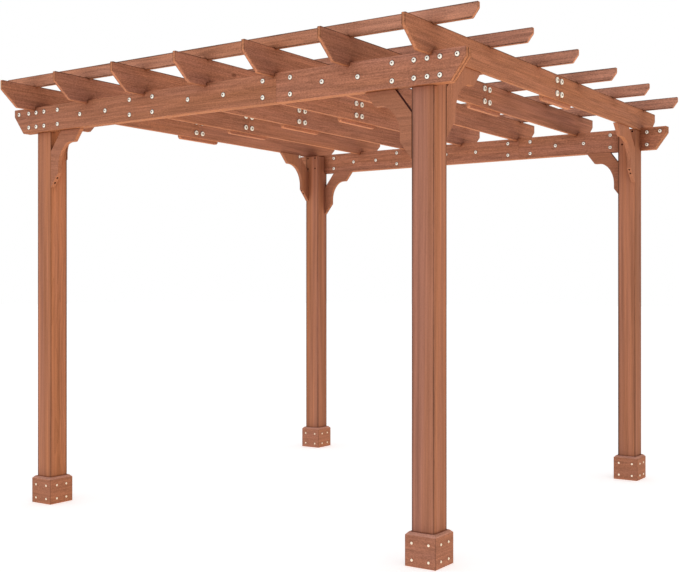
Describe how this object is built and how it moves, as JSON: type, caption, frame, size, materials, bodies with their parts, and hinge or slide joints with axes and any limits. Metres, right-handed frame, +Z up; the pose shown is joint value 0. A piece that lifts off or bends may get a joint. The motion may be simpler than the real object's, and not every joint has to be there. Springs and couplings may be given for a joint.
{
  "type": "pergola",
  "caption": "Freestanding stained-timber pergola: square posts in base trims carry layered beams, notched rafters and cross purlins, with scooped corner braces.",
  "frame": {"origin": "on the ground, midway between the four posts", "axes": "+X along the beams to the right, +Y from front to back, +Z up"},
  "size_m": [3.08, 3.108, 2.423],
  "materials": {
    "post_wood": "satin stain",
    "trim_wood": "satin stain",
    "beam_wood": "satin stain",
    "rafter_wood": "satin stain",
    "purlin_wood": "satin stain",
    "brace_wood": "satin stain"
  },
  "bodies": {
    "root": {"post_front_left": "post_wood", "post_front_right": "post_wood", "post_rear_left": "post_wood", "post_rear_right": "post_wood", "base_trim_front_left": "trim_wood", "base_trim_front_right": "trim_wood", "base_trim_rear_left": "trim_wood", "base_trim_rear_right": "trim_wood", "front_beam_inner_left": "beam_wood", "front_beam_inner_right": "beam_wood", "front_beam_outer_left": "beam_wood", "front_beam_outer_right": "beam_wood", "rear_beam_inner_left": "beam_wood", "rear_beam_inner_right": "beam_wood", "rear_beam_outer_left": "beam_wood", "rear_beam_outer_right": "beam_wood", "rafter_1_front": "rafter_wood", "rafter_1_rear": "rafter_wood", "rafter_2_front": "rafter_wood", "rafter_2_rear": "rafter_wood", "rafter_3_front": "rafter_wood", "rafter_3_rear": "rafter_wood", "rafter_4_front": "rafter_wood", "rafter_4_rear": "rafter_wood", "rafter_5_front": "rafter_wood", "rafter_5_rear": "rafter_wood", "rafter_6_front": "rafter_wood", "rafter_6_rear": "rafter_wood", "rafter_7_front": "rafter_wood", "rafter_7_rear": "rafter_wood", "rafter_splice_plates": "rafter_wood", "purlin_1": "purlin_wood", "purlin_2": "purlin_wood", "purlin_3": "purlin_wood", "purlin_4": "purlin_wood", "purlin_5": "purlin_wood", "purlin_6": "purlin_wood", "beam_brace_front_left": "brace_wood", "beam_brace_front_right": "brace_wood", "beam_brace_rear_left": "brace_wood", "beam_brace_rear_right": "brace_wood", "rafter_brace_front_left": "brace_wood", "rafter_brace_front_right": "brace_wood", "rafter_brace_rear_left": "brace_wood", "rafter_brace_rear_right": "brace_wood"}
  },
  "joints": []
}
